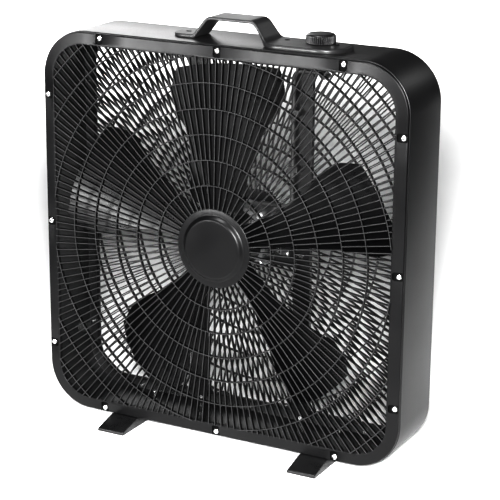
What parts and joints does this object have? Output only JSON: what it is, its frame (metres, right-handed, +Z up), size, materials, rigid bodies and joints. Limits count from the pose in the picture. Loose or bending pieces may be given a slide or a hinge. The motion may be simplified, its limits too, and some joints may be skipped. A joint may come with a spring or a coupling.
{
  "type": "box fan",
  "caption": "Square floor box fan: steel band housing, radial-rib grilles front and back, bladed impeller, top handle with rotary speed knob, wedge feet.",
  "frame": {"origin": "middle of the footprint, on the surface that the feet stand on", "axes": "+Z up, -Y towards the front grille (air leaves there), +X to the right as seen from the front"},
  "size_m": [0.5275, 0.173, 0.5685],
  "materials": {
    "painted_steel": "satin black powder coat on sheet steel",
    "grille_plastic": "satin black moulded plastic",
    "handle_plastic": "satin black moulded plastic with a fine grain",
    "knob_plastic": "satin black moulded plastic, ridged side",
    "foot_plastic": "smooth black moulded plastic",
    "blade_plastic": "smooth black moulded plastic",
    "zinc_screw": "bright zinc plate",
    "black_screw": "black oxide",
    "rail_steel": "black paint on pressed steel",
    "cast_aluminium": "die-cast, matt",
    "lamination_steel": "stacked laminations, dull",
    "enamelled_copper": "enamelled copper wire",
    "ground_steel": "ground steel",
    "bronze": "sintered bronze",
    "nylon": "natural nylon",
    "switch_plastic": "black phenolic",
    "brass_tab": "stamped brass",
    "capacitor_case": "white plastic case",
    "lead_sleeve": "black sleeving",
    "inlet_rubber": "black bushing"
  },
  "bodies": {
    "housing": {"housing_shell": "painted_steel", "front_grille": "grille_plastic", "rear_grille": "grille_plastic", "front_screws": "zinc_screw", "rear_screws": "zinc_screw", "handle": "handle_plastic", "handle_screws": "black_screw", "switch_body": "switch_plastic", "switch_nut": "zinc_screw", "switch_terminals": "brass_tab", "left_foot": "foot_plastic", "right_foot": "foot_plastic", "foot_screws": "zinc_screw", "left_rail": "rail_steel", "right_rail": "rail_steel", "rail_screws": "zinc_screw", "motor_plate": "rail_steel", "plate_screws": "zinc_screw", "motor_front_bell": "cast_aluminium", "motor_rear_bell": "cast_aluminium", "stator_core": "lamination_steel", "stator_windings": "enamelled_copper", "front_bearing": "bronze", "rear_bearing": "bronze", "through_bolts": "zinc_screw", "bolt_nuts": "zinc_screw", "capacitor": "capacitor_case", "capacitor_clip": "zinc_screw", "motor_lead": "lead_sleeve", "lead_clips": "nylon", "cord_inlet": "inlet_rubber"},
    "rotor": {"fan_blade": "blade_plastic", "blade_nut": "blade_plastic", "motor_shaft": "ground_steel", "motor_rotor": "lamination_steel", "thrust_washers": "nylon"},
    "knob": {"knob": "knob_plastic", "switch_spindle": "nylon"}
  },
  "joints": [
    {"name": "fan_spin", "type": "hinge", "parent": "housing", "child": "rotor", "pos_m": [0, 0, 0.276], "axis": [0, 1, 0], "continuous": true},
    {"name": "knob_turn", "type": "hinge", "parent": "housing", "child": "knob", "pos_m": [0.1195, 0, 0.545], "axis": [0, 0, 1], "range_deg": [-135, 0]}
  ]
}
